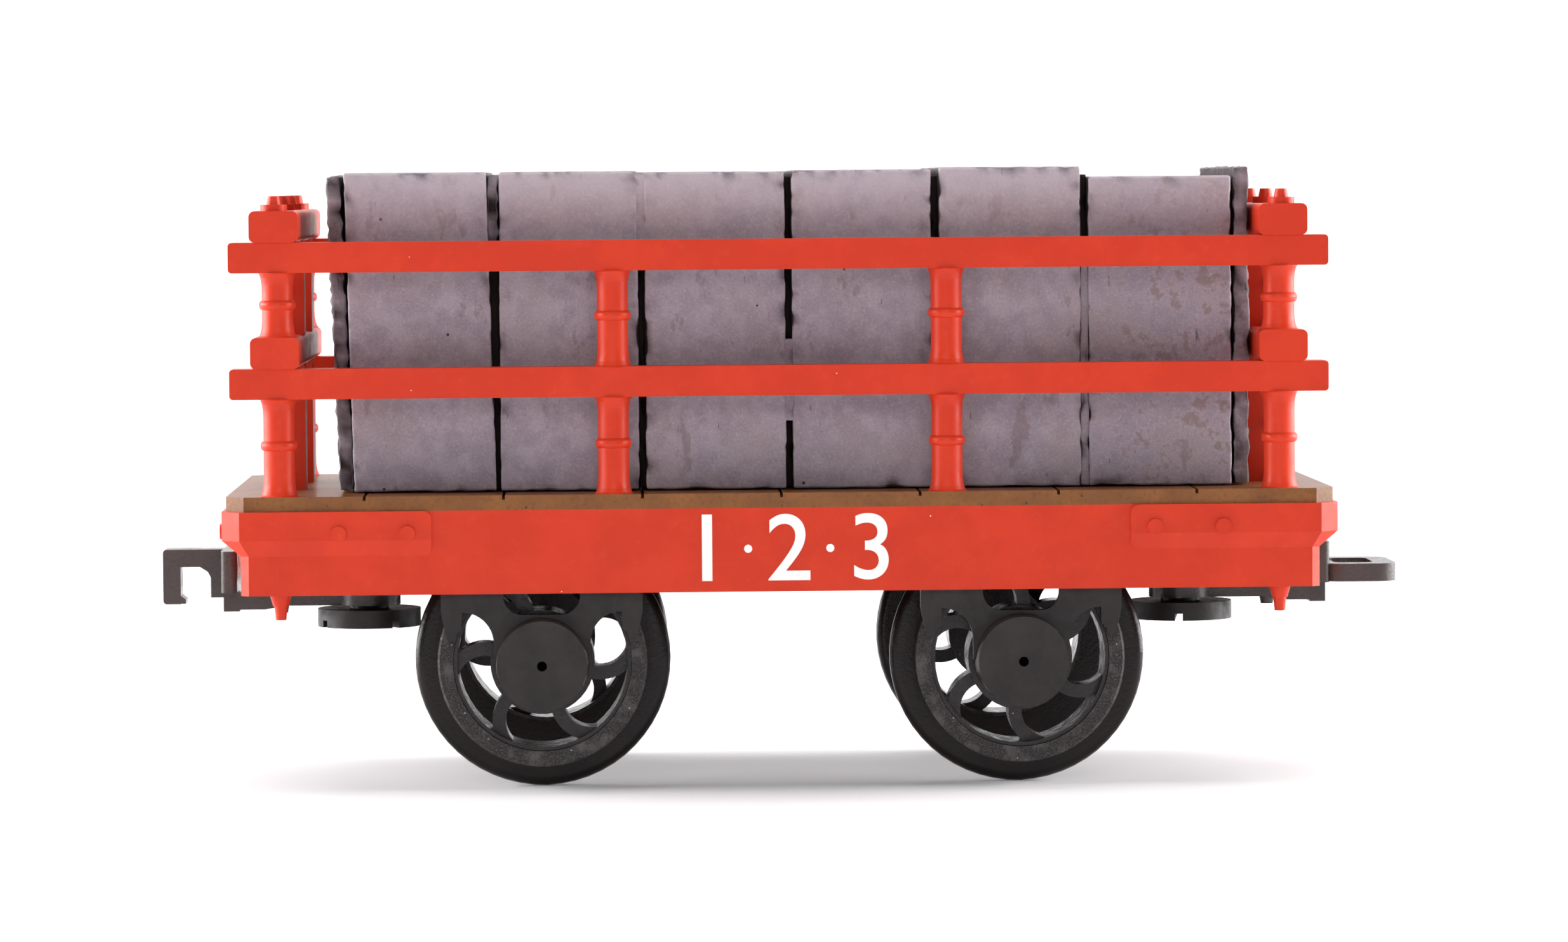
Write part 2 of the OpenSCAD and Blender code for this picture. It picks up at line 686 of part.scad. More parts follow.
// The metal tyre of a front wheel: face, coned tread, flange with a rounded tip
module tyre(x)
    color(steel) translate([x, -wheel_in_y, axle_z]) rotate([90, 0, 0]) rotate_extrude() {
        polygon([
            [tyre_in_r, 0], [tread_r, 0], [tread_r, flange_t],
            [tread_r, wheel_w - edge_cut], [tread_r - edge_cut, wheel_w], [tyre_in_r, wheel_w]
        ]);
        translate([tread_r - eps, 0]) square([axle_z - flange_t / 2 - tread_r + eps, flange_t]);
        translate([axle_z - flange_t / 2, flange_t / 2]) circle(flange_t / 2);
    }

module axle_left() axle(-axle_x);
module axle_right() axle(axle_x);
module wheel_centre_front_left() wheel_centre(-axle_x, spoke_phase_left[0]);
module wheel_centre_front_right() wheel_centre(axle_x, spoke_phase_right[0]);
module wheel_centre_rear_left() rotate([0, 0, 180]) wheel_centre(axle_x, spoke_phase_left[1]);
module wheel_centre_rear_right() rotate([0, 0, 180]) wheel_centre(-axle_x, spoke_phase_right[1]);
module tyre_front_left() tyre(-axle_x);
module tyre_front_right() tyre(axle_x);
module tyre_rear_left() mirror([0, 1, 0]) tyre(-axle_x);
module tyre_rear_right() mirror([0, 1, 0]) tyre(axle_x);

// --- Couplings, drawn about their pivot and pointing along +X ---

// Eye, shank and head plate, which both couplings share
module coupling_body() {
    difference() {
        union() {
            translate([0, 0, shank_z]) cylinder(r = eye_r, h = shank_t);
            translate([0, -shank_w / 2, shank_z]) cube([head_x + head_t, shank_w, shank_t]);
        }
        translate([0, 0, shank_z - 1]) cylinder(r = pivot_r + running_gap, h = shank_t + 2);
    }
    stand(shank_w / 2, shank_w) polygon([
        [head_x - shank_root_l, shank_z + eps], [head_x - shank_root_l * 0.5, shank_z - shank_root_drop],
        [head_x + eps, shank_z - shank_root_drop], [head_x + eps, shank_z + eps]
    ]);
    translate([nub_x, 0, shank_z - nub_drop]) cylinder(r1 = nub_r * 0.8, r2 = nub_r, h = nub_drop + eps);
    translate([head_x, -shank_w / 2, shank_z - heel_drop])
        cube([head_t, shank_w, head_z - shank_z + heel_drop + eps]);
    translate([head_x + head_t / 2, 0, head_z])
        linear_extrude(head_h) round_rect(head_t, head_w, head_t * 0.4);
}

// The hook's side view: a root down the head plate, a bar forward, a bar down and a barb pointing back
module hook_outline() {
    x0 = head_x + head_t - 0.1;
    x1 = head_x + head_t + hook_reach;
    z1 = head_z + head_h;
    z0 = z1 - hook_h;
    root_x = head_x + head_t + hook_root;
    bar_x = x1 - hook_bar;
    under_z = z1 - hook_bar;
    difference() {
        translate([(x0 + x1) / 2, z1 - hook_h / 2]) round_rect(x1 - x0, hook_h, 0.1);
        translate([x0 - 1, z0 - 1]) square([bar_x - x0 + 1, 1 + hook_h - hook_root_h]);
        polygon([
            [root_x, z0 - 1], [root_x, under_z - 0.3], [root_x + 0.08, under_z - 0.14],
            [root_x + 0.3, under_z], [bar_x, under_z], [bar_x, z0 - 1]
        ]);
    }
    polygon([
        [bar_x + eps, z0 + eps], [bar_x - barb_l, z0 + eps],
        [bar_x - barb_l, z0 + barb_h / 2], [bar_x + eps, z0 + barb_h]
    ]);
}

module coupling_with_hook() {
    coupling_body();
    stand(hook_w / 2, hook_w) hook_outline();
}

module coupling_with_loop() {
    coupling_body();
    difference() {
        translate([head_x + head_t + loop_reach / 2 - 0.1, 0, head_z + 0.02])
            linear_extrude(loop_t) round_rect(loop_reach + 0.2, head_w, loop_round);
        translate([head_x + head_t + (loop_reach - loop_bar) / 2 + 0.1, 0, head_z - 1])
            linear_extrude(loop_t + 2)
                round_rect(loop_reach - loop_bar - 0.2, head_w - 2 * loop_bar, loop_round / 2);
    }
}

module coupler_loop() color(black) translate([pivot_x, 0, 0]) coupling_with_loop();
module coupler_hook() color(black) translate([-pivot_x, 0, 0]) rotate([0, 0, 180]) coupling_with_hook();

// The cap under a pivot: a disc with a cross slot, and a pin that pushes up into the post
module coupler_screw(x, slot_turn)
    color(black) translate([x, 0, cap_z]) difference() {
        union() {
            cylinder(r = cap_r, h = cap_t);
            cylinder(r = cap_pin_r, h = cap_t + cap_pin_l);
        }
        for (turn = [0, 90]) rotate([0, 0, slot_turn + turn])
            cube([3 * cap_r, cap_slot_w, 2 * cap_slot_depth], center = true);
    }

module coupler_screw_left() coupler_screw(-pivot_x, cap_turn_left);
module coupler_screw_right() coupler_screw(pivot_x, cap_turn_right);

// --- Load ---

module slate_load() {
    half_l = deck_end - load_inset;
    half_w = stake_y - stake_r - stake_flare - load_side_gap;
    pitch = 2 * (half_l - load_slab_t) / load_columns;
    color(slate) translate([load_shift, 0, deck_top]) {
        translate([-half_l + 0.1, -half_w + load_joint_depth, 0])
            cube([2 * half_l - 0.2, 2 * (half_w - load_joint_depth), load_h - load_joint_depth]);
        for (i = [0 : load_columns - 1])
            translate([-half_l + load_slab_t + i * pitch + load_joint / 2, -half_w, 0])
                cube([pitch - load_joint, 2 * half_w, load_h - load_step * ((i * 2) % 3)]);
        for (end = [-1, 1]) translate([end * (half_l - load_slab_t / 2), 0, load_h / 2])
            cube([load_slab_t, 2 * (half_w - load_joint_depth * 0.8), load_h], center = true);
    }
}

plank_deck();
body_frame();
ballast_weight();
underframe();
side_fence_front();
side_fence_rear();
end_fence_left();
end_fence_right();
end_rail_bolts_left();
end_rail_bolts_right();
w_iron_front_left();
w_iron_front_right();
w_iron_rear_left();
w_iron_rear_right();
bearings_left();
bearings_right();
axle_left();
wheel_centre_front_left();
wheel_centre_rear_left();
tyre_front_left();
tyre_rear_left();
axle_right();
wheel_centre_front_right();
wheel_centre_rear_right();
tyre_front_right();
tyre_rear_right();
coupler_hook();
coupler_screw_left();
coupler_loop();
coupler_screw_right();
slate_load();
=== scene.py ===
"""Looks of the model slate wagon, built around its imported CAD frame.

Everything is in metres and in the row frame: +X runs along the wagon towards the loop coupling,
+Y away from the camera and +Z up, with the wheel flanges standing on z = 0.
"""

import math

import bmesh
import bpy
from mathutils import Matrix, Vector, noise


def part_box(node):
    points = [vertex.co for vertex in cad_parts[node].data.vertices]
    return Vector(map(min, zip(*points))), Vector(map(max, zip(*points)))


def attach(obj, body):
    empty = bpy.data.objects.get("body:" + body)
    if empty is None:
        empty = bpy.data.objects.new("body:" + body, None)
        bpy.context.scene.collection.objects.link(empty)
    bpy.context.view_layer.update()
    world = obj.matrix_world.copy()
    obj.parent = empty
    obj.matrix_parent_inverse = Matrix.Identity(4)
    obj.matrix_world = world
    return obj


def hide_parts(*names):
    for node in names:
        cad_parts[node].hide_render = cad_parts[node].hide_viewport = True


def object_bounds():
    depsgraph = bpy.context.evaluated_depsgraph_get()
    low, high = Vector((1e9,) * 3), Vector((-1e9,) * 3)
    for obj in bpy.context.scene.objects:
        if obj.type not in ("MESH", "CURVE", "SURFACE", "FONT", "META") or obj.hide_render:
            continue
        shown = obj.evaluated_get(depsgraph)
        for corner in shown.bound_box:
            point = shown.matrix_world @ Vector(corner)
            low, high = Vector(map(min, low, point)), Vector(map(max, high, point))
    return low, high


MM = 0.001
FRONT, REAR = -1, 1
PINHOLE_R = 0.13 * MM

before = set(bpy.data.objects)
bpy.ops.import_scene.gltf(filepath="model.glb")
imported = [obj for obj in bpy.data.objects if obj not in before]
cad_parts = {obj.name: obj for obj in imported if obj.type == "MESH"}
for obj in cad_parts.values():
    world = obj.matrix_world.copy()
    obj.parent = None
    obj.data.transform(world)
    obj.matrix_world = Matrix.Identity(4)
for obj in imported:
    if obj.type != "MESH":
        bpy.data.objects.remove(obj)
cad_low, cad_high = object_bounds()


def srgb(r, g, b):
    """A colour given as 0-255 display values, as linear RGBA."""
    def linear(v):
        v /= 255
        return v / 12.92 if v <= 0.04045 else ((v + 0.055) / 1.055) ** 2.4
    return (linear(r), linear(g), linear(b), 1)


# ---------------------------------------------------------------- materials


class Shading:
    """A Principled material under construction, with short calls that add nodes to it."""

    def __init__(self, name, color, roughness, **constants):
        self.material = bpy.data.materials.new(name)
        self.material.use_nodes = True
        self.tree = self.material.node_tree
        self.shader = self.tree.nodes["Principled BSDF"]
        self.coords = self.tree.nodes.new("ShaderNodeTexCoord").outputs["Object"]
        self.shader.inputs["Base Color"].default_value = color
        self.shader.inputs["Roughness"].default_value = roughness
        for key, value in constants.items():
            self.shader.inputs[key.replace("_", " ")].default_value = value

    def add(self, kind, inputs=(), **settings):
        """A node with these properties, each input either linked to a socket or set to a constant."""
        made = self.tree.nodes.new(kind)
        for key, value in settings.items():
            setattr(made, key, value)
        for key, value in dict(inputs).items():
            if isinstance(value, bpy.types.NodeSocket):
                self.tree.links.new(value, made.inputs[key])
            else:
                made.inputs[key].default_value = value
        return made

    def link(self, output, name):
        self.tree.links.new(output, self.shader.inputs[name])

    def noise(self, size, detail=4, stretch=(1, 1, 1), roughness=0.55):
        """Noise whose lumps are about size metres across, longer along an axis where stretch is above 1."""
        scaled = self.add("ShaderNodeVectorMath", {0: self.coords, 1: [1 / (size * s) for s in stretch]},
                          operation="MULTIPLY").outputs[0]
        return self.add("ShaderNodeTexNoise", {"Vector": scaled, "Scale": 1, "Detail": detail,
                                               "Roughness": roughness}).outputs["Fac"]

    def ramp(self, value, low, high, to_low=0, to_high=1):
        """A smooth step from to_low to to_high as value goes from low to high."""
        return self.add("ShaderNodeMapRange", {"Value": value, "From Min": low, "From Max": high,
                                               "To Min": to_low, "To Max": to_high},
                        interpolation_type="SMOOTHSTEP").outputs["Result"]

    def math(self, operation, a, b=0.0):
        return self.add("ShaderNodeMath", {0: a, 1: b}, operation=operation).outputs[0]

    def mix(self, factor, a, b):
        """Colour a where factor is 0, b where it is 1."""
        return self.add("ShaderNodeMix", {0: factor, 6: a, 7: b}, data_type="RGBA").outputs[2]

    def specks(self, spacing, radius, share):
        """1 inside sparse round specks: about one cell in 1 / share holds one."""
        scaled = self.add("ShaderNodeVectorMath", {0: self.coords, 1: [1 / spacing] * 3},
                          operation="MULTIPLY").outputs[0]
        cells = self.add("ShaderNodeTexVoronoi", {"Vector": scaled, "Scale": 1})
        near = self.math("LESS_THAN", cells.outputs["Distance"], radius / spacing)
        chosen = self.add("ShaderNodeSeparateColor", {0: cells.outputs["Color"]}).outputs[0]
        return self.math("MULTIPLY", near, self.math("LESS_THAN", chosen, share))

    def bump(self, height, depth):
        """Relief of depth metres where height runs from 0 to 1."""
        made = self.add("ShaderNodeBump", {"Strength": 1, "Distance": depth, "Height": height})
        self.link(made.outputs["Normal"], "Normal")


def red_plastic():
    """Satin moulded plastic with a faint flow mottle, a paler bloom and a few dust specks."""
    s = Shading("red_plastic", srgb(199, 44, 10), 0.4, Specular_IOR_Level=0.3)
    mottle = s.ramp(s.noise(1.4 * MM), 0.35, 0.65)
    color = s.mix(mottle, srgb(195, 43, 8), srgb(203, 49, 12))
    bloom = s.ramp(s.noise(0.25 * MM, detail=6), 0.56, 0.75, 0, 0.18)
    color = s.mix(bloom, color, srgb(215, 74, 44))
    dust = s.specks(0.5 * MM, 0.034 * MM, 0.1)
    color = s.mix(dust, color, srgb(250, 205, 194))
    s.link(color, "Base Color")
    s.link(s.ramp(s.noise(0.4 * MM), 0.3, 0.7, 0.36, 0.46), "Roughness")
    s.bump(s.noise(0.12 * MM, detail=5), 0.004 * MM)
    return s.material


def timber():
    """Brown painted planks that run across the wagon, with grain, dark pores and worn patches."""
    s = Shading("timber_deck", srgb(126, 74, 28), 0.4, Specular_IOR_Level=0.3, Coat_Weight=0.15,
                Coat_Roughness=0.12)
    grain = s.noise(0.13 * MM, detail=7, stretch=(1, 16, 1))
    patches = s.ramp(s.noise(1.6 * MM, detail=5), 0.38, 0.66)
    color = s.mix(patches, srgb(118, 70, 25), srgb(134, 82, 32))
    color = s.mix(s.ramp(grain, 0.5, 0.7, 0, 0.5), color, srgb(88, 52, 26))
    color = s.mix(s.ramp(grain, 0.2, 0.42, 0.3, 0), color, srgb(160, 106, 54))
    color = s.mix(s.specks(0.3 * MM, 0.035 * MM, 0.2), color, srgb(70, 38, 18))
    s.link(color, "Base Color")
    s.bump(s.noise(0.1 * MM, detail=8, roughness=0.7), 0.03 * MM)
    return s.material


def black_plastic(shine=0.0, pale=0.0, hole_x=None):
    """Charcoal moulded plastic, slightly cloudy.

    shine makes it smoother and pale makes it greyer. hole_x paints shade into the pinhole in the axleboxes
    at that X, as a near-black disc without specular.
    """
    specular = 0.35
    s = Shading("black_plastic", srgb(30, 25, 25), 0.45, Specular_IOR_Level=specular)
    cloud = s.ramp(s.noise(0.9 * MM, detail=5), 0.3, 0.7)
    color = s.mix(cloud, srgb(24, 19, 19), srgb(38, 32, 32))
    color = s.mix(pale, color, srgb(112, 102, 98))
    color = s.mix(s.specks(0.45 * MM, 0.022 * MM, 0.06), color, srgb(150, 146, 144))
    if hole_x is not None:
        offset = s.add("ShaderNodeVectorMath", {0: s.coords, 1: (hole_x, 0, AXLE_Z)},
                       operation="SUBTRACT").outputs[0]
        flat = s.add("ShaderNodeVectorMath", {0: offset, 1: (1, 0, 1)}, operation="MULTIPLY").outputs[0]
        from_axle = s.add("ShaderNodeVectorMath", {0: flat}, operation="LENGTH").outputs["Value"]
        # Painted shade: the pinhole is a near-black disc with no specular, dark as a hole in shadow.
        painted_hole_shade = s.math("LESS_THAN", from_axle, PINHOLE_R)
        color = s.mix(painted_hole_shade, color, srgb(3, 2, 2))
        s.link(s.math("MULTIPLY", s.math("SUBTRACT", 1, painted_hole_shade), specular), "Specular IOR Level")
    s.link(color, "Base Color")
    s.link(s.ramp(s.noise(0.3 * MM), 0.3, 0.7, 0.38 - shine, 0.55 - shine), "Roughness")
    s.bump(s.noise(0.09 * MM, detail=5), 0.006 * MM)
    return s.material


def metal(name, color, roughness):
    """Plain turned metal with fine scratches."""
    s = Shading(name, color, roughness, Metallic=1.0)
    s.link(s.ramp(s.noise(0.1 * MM, detail=5, stretch=(1, 12, 1)), 0.3, 0.7,
                  roughness - 0.1, roughness + 0.15), "Roughness")
    s.bump(s.noise(0.06 * MM, stretch=(1, 10, 1)), 0.003 * MM)
    return s.material


def tyre_metal(node, side):
    """Chemically blackened tyre: a glossy dark tread and flange, and a grey, worn, speckled face ring."""
    low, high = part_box(node)
    face_y = abs(low.y if side == FRONT else high.y)
    s = Shading("blackened_tyre", srgb(16, 9, 8), 0.3, Specular_IOR_Level=0.25)
    place = s.add("ShaderNodeSeparateXYZ", {0: s.coords})
    across = s.math("MULTIPLY", place.outputs["Y"], side)
    on_face = s.ramp(across, face_y - 0.1 * MM, face_y - 0.03 * MM)
    worn = s.ramp(s.noise(0.05 * MM, detail=8, roughness=0.75), 0.45, 0.72)
    ring = s.mix(worn, srgb(38, 34, 34), srgb(98, 95, 95))
    patchy = s.ramp(s.noise(0.5 * MM, detail=4), 0.45, 0.7, 0, 0.45)
    ring = s.mix(patchy, ring, srgb(104, 100, 100))
    grains = s.specks(0.16 * MM, 0.02 * MM, 0.16)
    ring = s.mix(grains, ring, srgb(170, 164, 162))
    stain = s.ramp(s.noise(0.8 * MM, detail=4), 0.35, 0.65, 0, 0.5)
    stained = s.mix(stain, srgb(14, 7, 6), srgb(30, 19, 17))
    s.link(s.mix(on_face, stained, ring), "Base Color")
    s.link(s.ramp(on_face, 0, 1, 0.26, 0.6), "Roughness")
    s.bump(s.noise(0.08 * MM, detail=6), 0.008 * MM)
    return s.material


def slate_stone():
    """Cast slate: smooth purple-grey with a fine mottle, brown bruises, hairline marks and small pits.

    It is browner at the right, and its upright faces are painted paler towards the top, as painted light
    from above. The mesh's shade attribute darkens it above 0, as painted shade with some grime, and makes it
    paler below 0, as a painted highlight.
    """
    s = Shading("slate", srgb(148, 138, 149), 0.7, Specular_IOR_Level=0.35)
    cloud = s.ramp(s.noise(0.5 * MM, detail=6), 0.34, 0.66)
    color = s.mix(cloud, srgb(139, 130, 141), srgb(156, 147, 157))
    warm = s.ramp(s.noise(2.2 * MM, detail=3), 0.42, 0.68, 0, 0.5)
    color = s.mix(warm, color, srgb(149, 138, 140))
    grit = s.noise(0.07 * MM, detail=7, roughness=0.75)
    color = s.mix(s.ramp(grit, 0.5, 0.7, 0, 0.45), color, srgb(192, 182, 191))
    color = s.mix(s.ramp(grit, 0.3, 0.48, 0.4, 0), color, srgb(104, 92, 101))
    bruise = s.ramp(s.noise(0.9 * MM, detail=6, stretch=(1, 1, 2), roughness=0.65), 0.6, 0.66, 0, 0.45)
    color = s.mix(bruise, color, srgb(110, 93, 94))
    place = s.add("ShaderNodeSeparateXYZ", {0: s.coords})
    at_right = s.ramp(place.outputs["X"], 8 * MM, 10 * MM)
    stain = s.ramp(s.noise(0.5 * MM, detail=6, roughness=0.7), 0.5, 0.62, 0, 0.6)
    color = s.mix(s.math("MULTIPLY", at_right, stain), color, srgb(112, 92, 88))
    hairline = s.ramp(s.noise(0.16 * MM, detail=3, stretch=(1, 1, 6)), 0.69, 0.73, 0, 0.7)
    color = s.mix(hairline, color, srgb(78, 62, 66))
    color = s.mix(s.specks(0.6 * MM, 0.045 * MM, 0.1), color, srgb(56, 42, 42))
    normal = s.add("ShaderNodeNewGeometry").outputs["Normal"]
    upright = s.math("SUBTRACT", 1, s.add("ShaderNodeSeparateXYZ", {0: normal}).outputs["Z"])
    # Painted light: the upright faces are painted paler towards the top, as lit from above.
    pale = s.ramp(place.outputs["Z"], 14.6 * MM, 17 * MM, 0, 0.5)
    color = s.mix(s.math("MULTIPLY", pale, upright), color, srgb(204, 192, 199))
    shade = s.add("ShaderNodeAttribute", attribute_name="shade").outputs["Fac"]
    # Below 0 the shade attribute paints a highlight, above 0 it paints shade with some grime.
    color = s.mix(s.math("MAXIMUM", s.math("MULTIPLY", shade, -1), 0), color, srgb(225, 213, 218))
    color = s.mix(s.math("MAXIMUM", shade, 0), color, srgb(34, 20, 18))
    s.link(color, "Base Color")
    s.bump(s.noise(0.08 * MM, detail=7, roughness=0.65), 0.018 * MM)
    return s.material


def white_paint():
    """Printed white lettering paint, slightly thin in places."""
    s = Shading("white_paint", srgb(244, 240, 236), 0.45)
    thin = s.ramp(s.noise(0.12 * MM, detail=6), 0.6, 0.75, 0, 0.35)
    s.link(s.mix(thin, srgb(246, 243, 240), srgb(232, 178, 166)), "Base Color")
    return s.material


def dress(node, material, bevel=0.0, segments=2):
    """Gives a CAD node its material and, where bevel is set, softly rounded edges."""
    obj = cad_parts[node]
    obj.data.materials.clear()
    obj.data.materials.append(material)
    if bevel:
        edge = obj.modifiers.new("soft_edges", "BEVEL")
        edge.width = bevel
        edge.segments = segments
        edge.limit_method = "ANGLE"
        edge.angle_limit = math.radians(35)
        edge.miter_outer = "MITER_ARC"
    return obj


# ---------------------------------------------------------------- CAD nodes in their materials

AXLE_Z = (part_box("axle_left")[0].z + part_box("axle_left")[1].z) / 2
RED = red_plastic()
TIMBER = timber()
BLACK = black_plastic()
GLOSSY_BLACK = black_plastic(shine=0.18)
COUPLER_BLACK = black_plastic(shine=0.2, pale=0.3)
STEEL = metal("steel", srgb(150, 150, 152), 0.35)
BRASS = metal("brass", srgb(196, 160, 84), 0.3)
SLATE = slate_stone()
WHITE = white_paint()

for name in ("body_frame", "side_fence_front", "side_fence_rear", "end_fence_left", "end_fence_right",
             "end_rail_bolts_left", "end_rail_bolts_right"):
    dress(name, RED, 0.08 * MM, 3)
dress("plank_deck", TIMBER, 0.02 * MM)
for name in ("underframe", "coupler_screw_left", "coupler_screw_right"):
    dress(name, BLACK, 0.04 * MM)
dress("coupler_hook", COUPLER_BLACK, 0.04 * MM)
dress("coupler_loop", COUPLER_BLACK, 0.16 * MM, 4)
dress("ballast_weight", STEEL)
for end in ("left", "right"):
    dress(f"axle_{end}", STEEL)
    dress(f"bearings_{end}", BRASS)
    axle_low, axle_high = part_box(f"axle_{end}")
    guard_black = black_plastic(hole_x=(axle_low.x + axle_high.x) / 2)
    for side_name, side in (("front", FRONT), ("rear", REAR)):
        dress(f"w_iron_{side_name}_{end}", guard_black, 0.04 * MM)
        dress(f"wheel_centre_{side_name}_{end}", GLOSSY_BLACK, 0.03 * MM)
        tyre = f"tyre_{side_name}_{end}"
        dress(tyre, tyre_metal(tyre, side))


# ---------------------------------------------------------------- number on the solebar


def add_number(text, height, pitch, middle_x, base_z):
    """Plain white digits with a dot between each two, as a thin raised print on the front solebar."""
    face_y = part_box("plank_deck")[0].y
    thickness = 0.012 * MM
    dot_r = 0.11 * MM
    dot_z = base_z + height * 0.48
    first_x = middle_x - pitch * (len(text) - 1) / 2
    shapes = bmesh.new()
    for index, digit in enumerate(text):
        curve = bpy.data.curves.new("digit", "FONT")
        curve.body = digit
        curve.offset = 0.004
        curve.extrude = 0.5
        letter = bpy.data.objects.new("digit", curve)
        flat = bpy.data.meshes.new_from_object(letter)
        xs = [v.co.x for v in flat.vertices]
        ys = [v.co.y for v in flat.vertices]
        scale = height / (max(ys) - min(ys))
        for v in flat.vertices:
            x = (v.co.x - (min(xs) + max(xs)) / 2) * scale
            z = (v.co.y - min(ys)) * scale
            v.co = (first_x + index * pitch + x, face_y - (v.co.z + 0.5) * thickness, base_z + z)
        shapes.from_mesh(flat)
        bpy.data.objects.remove(letter)
        if index:
            place = Matrix.Translation((first_x + (index - 0.5) * pitch, face_y - thickness / 2, dot_z))
            bmesh.ops.create_cone(shapes, cap_ends=True, segments=24, radius1=dot_r, radius2=dot_r,
                                  depth=thickness, matrix=place @ Matrix.Rotation(math.pi / 2, 4, "X"))
    data = bpy.data.meshes.new("number")
    bmesh.ops.recalc_face_normals(shapes, faces=shapes.faces)
    shapes.to_mesh(data)
    shapes.free()
    data.materials.append(WHITE)
    number = bpy.data.objects.new("number", data)
    bpy.context.scene.collection.objects.link(number)
    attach(number, "wagon")


add_number("123", height=1.8 * MM, pitch=2.22 * MM, middle_x=0.2 * MM, base_z=5.73 * MM)

# ---------------------------------------------------------------- slate load

LOAD_LOW, LOAD_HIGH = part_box("slate_load")
# From left to right, in mm: each column's width, how far its top is under the load's, the joint after it
COLUMNS = [(3.94, 0.05, 0.27), (3.84, 0.05, 0.11), (3.90, 0.08, 0.11),
           (3.87, 0.06, 0.15), (3.93, 0.01, 0.14), (3.97, 0.29, 0)]
FIRST_LEAN = 0.22 * MM
SLAB_T = 0.42 * MM
SLAB_SET_BACK = 0.25 * MM
SLAB_OVERHANG = 0.08 * MM
STONE_PITCH = 0.15 * MM
STONE_ROUND = 0.1 * MM
WORN_RIM = 0.35 * MM
# Painted highlight given to the stones' top edges.
PAINTED_TOP_HIGHLIGHT = -0.3


class StoneStack:
    """Gathers rough-hewn blocks, each a closed shell, into one mesh with a darkness for each vertex: painted
    shade with some grime above 0, a painted highlight below 0.
    """

    def __init__(self):
        self.mesh = bmesh.new()
        self.shade = self.mesh.verts.layers.float.new("shade")

    def block(self, low, high, seed, dirt_and_shade=0.0, joint_side_shade=0.9, rough=0.0, lean=0.0):
        """One block between two corners.

        dirt_and_shade darkens it all over, as painted shade for stone set back in joints and recesses and as
        some grime on the end slabs, and joint_side_shade paints shade on its faces in the joints, from 0 to
        1. rough splits its surface, lean moves its foot along the wagon, and seed gives it chips of its own.
        """
        low, high = Vector(low), Vector(high)
        axes = [close_steps(low[i], high[i]) for i in range(3)]
        grid = {}
        last = [len(axis) - 1 for axis in axes]

        def vertex(*place):
            if place not in grid:
                corner = Vector([axes[i][place[i]] for i in range(3)])
                point, darkness = weathered(corner, low, high, dirt_and_shade, joint_side_shade, rough, seed)
                point.x += lean * (high.z - point.z) / (high.z - low.z)
                grid[place] = self.mesh.verts.new(point)
                grid[place][self.shade] = darkness
            return grid[place]

        for axis in range(3):
            u, v = (axis + 1) % 3, (axis + 2) % 3
            for end in (0, last[axis]):
                for i in range(last[u]):
                    for j in range(last[v]):
                        quad = []
                        for du, dv in ((0, 0), (1, 0), (1, 1), (0, 1)):
                            place = [0, 0, 0]
                            place[axis], place[u], place[v] = end, i + du, j + dv
                            quad.append(vertex(*place))
                        self.mesh.faces.new(quad if end else quad[::-1]).smooth = True

    def finish(self, name):
        """The stack as an object of that name."""
        data = bpy.data.meshes.new(name)
        self.mesh.to_mesh(data)
        self.mesh.free()
        made = bpy.data.objects.new(name, data)
        bpy.context.scene.collection.objects.link(made)
        data.materials.append(SLATE)
        return made


def close_steps(low, high):
    """Coordinates from low to high, about STONE_PITCH apart but closer at the two rounded ends."""
    rim = [0, 0.03 * MM, 0.07 * MM, 0.12 * MM]
    if high - low < 3 * rim[-1]:
        return [low, low + rim[1], high - rim[1], high]
    count = max(1, round((high - low - 2 * rim[-1]) / STONE_PITCH))
    middle = [low + rim[-1] + (high - low - 2 * rim[-1]) * i / count for i in range(1, count)]
    return [low + r for r in rim] + middle + [high - r for r in reversed(rim)]


def weathered(corner, low, high, dirt_and_shade, joint_side_shade, rough, seed):
    """A point of a block's surface after rounding, waves and chips, and how dark it is there: above 0
    painted shade in the joints and by the deck with some grime, and darker where chips and cracks cut in;
    below 0 a painted highlight on its top edges.

    Everything that moves the point along outward is in millimetres. Waves and chips only cut into the stone.
    """
    radius = min(STONE_ROUND, min(high - low) / 3)
    core = Vector([min(max(corner[i], low[i] + radius), high[i] - radius) for i in range(3)])
    outward = (corner - core).normalized()
    point = core + outward * radius
    from_edge = sorted(min(corner[i] - low[i], high[i] - corner[i]) for i in range(3))[1]
    near_edge = max(0, 1 - from_edge / WORN_RIM)
    place = point + Vector((seed, 0, 0)) * MM
    waves = 0.03 * noise.noise(place / (1.6 * MM)) + 0.012 * noise.noise(place / (0.45 * MM))
    chips = max(0, noise.noise(place / (0.42 * MM)) - 0.16) * 0.17 * near_edge
    cracks = max(0, noise.noise(place / (0.2 * MM)) - 0.2) * 0.09 * near_edge
    bulge = 0.02 * math.sin((point.z - LOAD_LOW.z) * 1.55 / MM) if abs(outward.y) > 0.5 else 0
    split = rough * noise.noise(place / (0.3 * MM))
    shrink = 0.03 + 0.04 * rough
    point += outward * (min(waves, 0) + bulge - chips - cracks + 0.12 * split - shrink) * MM
    # Painted shade: faces inside the joints, facing along the wagon, are darkened as if in the joint's
    # shadow.
    in_joint = min(1, max(0, min(corner.y - low.y, high.y - corner.y) / (0.12 * MM)))
    darkness = max(dirt_and_shade - 0.9 * split, joint_side_shade * in_joint * abs(outward.x))
    # Darker within 0.1 mm of the deck: partly painted contact shadow, partly grime.
    darkness = max(darkness, 0.9 * (1 - (point.z - LOAD_LOW.z) / (0.1 * MM)))
    darkness = max(darkness, 1.2 * min(0.5, (chips + cracks) * 9))
    # Painted highlight: top edges that nothing darkens are painted paler.
    if darkness < 0.05 and high.z - corner.z < 0.08 * MM:
        darkness = PAINTED_TOP_HIGHLIGHT
    return point, min(1, darkness)


